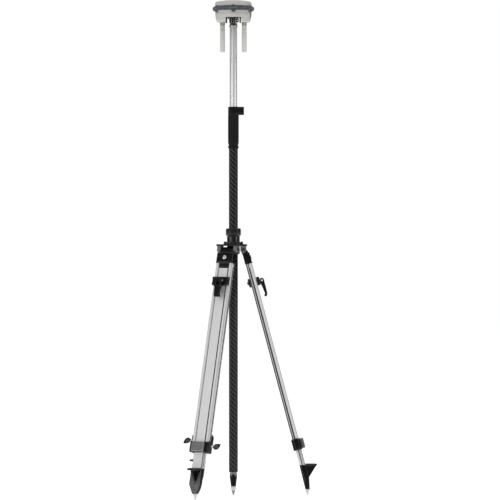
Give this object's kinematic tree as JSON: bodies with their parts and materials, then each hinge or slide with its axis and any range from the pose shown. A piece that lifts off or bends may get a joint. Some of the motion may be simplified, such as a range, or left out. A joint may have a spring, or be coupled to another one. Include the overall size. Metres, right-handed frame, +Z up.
{
  "type": "gnss receiver",
  "caption": "Survey satellite receiver with rod antennas on a telescoping pole, held upright by a pole tripod with extending legs and spiked feet.",
  "frame": {"origin": "tip of the pole point, on the ground mark", "axes": "+Z up the pole towards the receiver, +X along leg a, level lying at +Y"},
  "size_m": [0.5704, 0.6264, 2.098],
  "materials": {
    "housing": "fine satin moulding, warm light grey",
    "bumper": "slate elastomer",
    "antenna": "plated ceramic patch",
    "board": "solder mask",
    "battery": "moulded case",
    "door": "black moulding",
    "insert": "black nickel on machined steel",
    "rod": "satin sleeve",
    "pole_metal": "clear anodised, drawn",
    "carbon": "carbon twill under clear resin",
    "grip": "fine matt elastomer",
    "moulding": "glass-filled nylon",
    "bush": "acetal",
    "ferrule": "grey anodised",
    "steel": "ground point",
    "casting": "black powder coat",
    "ears": "grey powder coat",
    "dark_steel": "black oxide",
    "vial": "filled level",
    "rail": "clear anodised extrusion",
    "bright_steel": "zinc plated",
    "front_block": "grey powder coat, fine texture"
  },
  "bodies": {
    "tripod_head": {"tripod_hub": "casting", "hub_plate": "ears", "hinge_bolts": "dark_steel", "clamp_collet": "bush", "level_vial": "vial"},
    "clamp_nut": {"clamp_nut": "moulding"},
    "pole": {"lower_pole": "carbon", "pole_grip": "grip", "lock_housing": "moulding", "slide_bush": "bush", "point_socket": "ferrule", "pole_point": "steel"},
    "lock_lever": {"lock_lever": "moulding"},
    "receiver": {"upper_pole": "pole_metal", "pole_top_collar": "pole_metal", "mount_insert": "insert", "receiver_base": "housing", "receiver_radome": "housing", "receiver_bumper": "bumper", "antenna_element": "antenna", "main_board": "board", "battery_pack": "battery", "data_ports": "door", "left_rod_antenna": "rod", "right_rod_antenna": "rod"},
    "power_button": {"power_button": "door"},
    "battery_door": {"battery_door": "door"},
    "leg_a_upper": {"leg_a_head": "casting", "leg_a_rails": "rail", "leg_a_lower_clamp": "casting", "leg_a_front_block": "front_block", "leg_a_fasteners": "bright_steel"},
    "leg_a_slider": {"leg_a_inner": "rail", "leg_a_cam_clamp": "casting", "leg_a_foot": "casting", "leg_a_spike": "steel"},
    "leg_a_cam_lever": {"leg_a_cam_lever": "moulding"},
    "leg_a_thumbscrew": {"leg_a_thumbscrew": "moulding"},
    "leg_b_upper": {"leg_b_head": "casting", "leg_b_rails": "rail", "leg_b_lower_clamp": "casting", "leg_b_front_block": "front_block", "leg_b_fasteners": "bright_steel"},
    "leg_b_slider": {"leg_b_inner": "rail", "leg_b_cam_clamp": "casting", "leg_b_foot": "casting", "leg_b_spike": "steel"},
    "leg_b_cam_lever": {"leg_b_cam_lever": "moulding"},
    "leg_b_thumbscrew": {"leg_b_thumbscrew": "moulding"},
    "leg_c_upper": {"leg_c_head": "casting", "leg_c_rails": "rail", "leg_c_lower_clamp": "casting", "leg_c_front_block": "front_block", "leg_c_fasteners": "bright_steel"},
    "leg_c_slider": {"leg_c_inner": "rail", "leg_c_cam_clamp": "casting", "leg_c_foot": "casting", "leg_c_spike": "steel"},
    "leg_c_cam_lever": {"leg_c_cam_lever": "moulding"},
    "leg_c_thumbscrew": {"leg_c_thumbscrew": "moulding"}
  },
  "joints": [
    {"name": "clamp_nut_turn", "type": "hinge", "parent": "tripod_head", "child": "clamp_nut", "pos_m": [0, 0, 1.115], "axis": [0, 0, 1], "range_deg": [-90, 360]},
    {"name": "pole_slide", "type": "slide", "parent": "tripod_head", "child": "pole", "axis": [0, 0, 1], "range_m": [-0.3, 0.3]},
    {"name": "lock_lever_fold", "type": "hinge", "parent": "pole", "child": "lock_lever", "pos_m": [0.034, -0.0095, 1.629], "axis": [0, 0, 1], "range_deg": [0, 120]},
    {"name": "upper_pole_slide", "type": "slide", "parent": "pole", "child": "receiver", "axis": [0, 0, 1], "range_m": [-0.2, 0]},
    {"name": "power_button_press", "type": "slide", "parent": "receiver", "child": "power_button", "axis": [0, -1, 0], "range_m": [0, 0.001], "stiffness_N_per_m": 1500},
    {"name": "battery_door_swing", "type": "hinge", "parent": "receiver", "child": "battery_door", "pos_m": [0.0697, 0, 2.0196], "axis": [0, 1, 0], "range_deg": [0, 70]},
    {"name": "leg_a_fold", "type": "hinge", "parent": "tripod_head", "child": "leg_a_upper", "pos_m": [0.042, 0, 1.04], "axis": [0, -1, 0], "range_deg": [-14, 12]},
    {"name": "leg_a_slide", "type": "slide", "parent": "leg_a_upper", "child": "leg_a_slider", "axis": [0.2571, 0, -0.9664], "range_m": [0, 0.6]},
    {"name": "leg_a_cam_swing", "type": "hinge", "parent": "leg_a_slider", "child": "leg_a_cam_lever", "pos_m": [0.11984, 0, 0.91274], "axis": [0, -1, 0], "range_deg": [0, 95]},
    {"name": "leg_a_thumbscrew_turn", "type": "hinge", "parent": "leg_a_upper", "child": "leg_a_thumbscrew", "pos_m": [0.2673, 0.06, 0.22244], "axis": [0, 1, 0], "range_deg": [-180, 180]},
    {"name": "leg_b_fold", "type": "hinge", "parent": "tripod_head", "child": "leg_b_upper", "pos_m": [-0.021, -0.03637, 1.04], "axis": [-0.866, 0.5, 0], "range_deg": [-14, 12]},
    {"name": "leg_b_slide", "type": "slide", "parent": "leg_b_upper", "child": "leg_b_slider", "axis": [-0.1286, -0.2227, -0.9664], "range_m": [0, 0.6]},
    {"name": "leg_b_cam_swing", "type": "hinge", "parent": "leg_b_slider", "child": "leg_b_cam_lever", "pos_m": [-0.05992, -0.10379, 0.91274], "axis": [-0.866, 0.5, 0], "range_deg": [0, 95]},
    {"name": "leg_b_thumbscrew_turn", "type": "hinge", "parent": "leg_b_upper", "child": "leg_b_thumbscrew", "pos_m": [-0.08169, -0.26149, 0.22244], "axis": [0.866, -0.5, 0], "range_deg": [-180, 180]},
    {"name": "leg_c_fold", "type": "hinge", "parent": "tripod_head", "child": "leg_c_upper", "pos_m": [-0.021, 0.03637, 1.04], "axis": [0.866, 0.5, 0], "range_deg": [-14, 12]},
    {"name": "leg_c_slide", "type": "slide", "parent": "leg_c_upper", "child": "leg_c_slider", "axis": [-0.1286, 0.2227, -0.9664], "range_m": [0, 0.6]},
    {"name": "leg_c_cam_swing", "type": "hinge", "parent": "leg_c_slider", "child": "leg_c_cam_lever", "pos_m": [-0.05992, 0.10379, 0.91274], "axis": [0.866, 0.5, 0], "range_deg": [0, 95]},
    {"name": "leg_c_thumbscrew_turn", "type": "hinge", "parent": "leg_c_upper", "child": "leg_c_thumbscrew", "pos_m": [-0.18561, 0.20149, 0.22244], "axis": [-0.866, -0.5, 0], "range_deg": [-180, 180]}
  ]
}
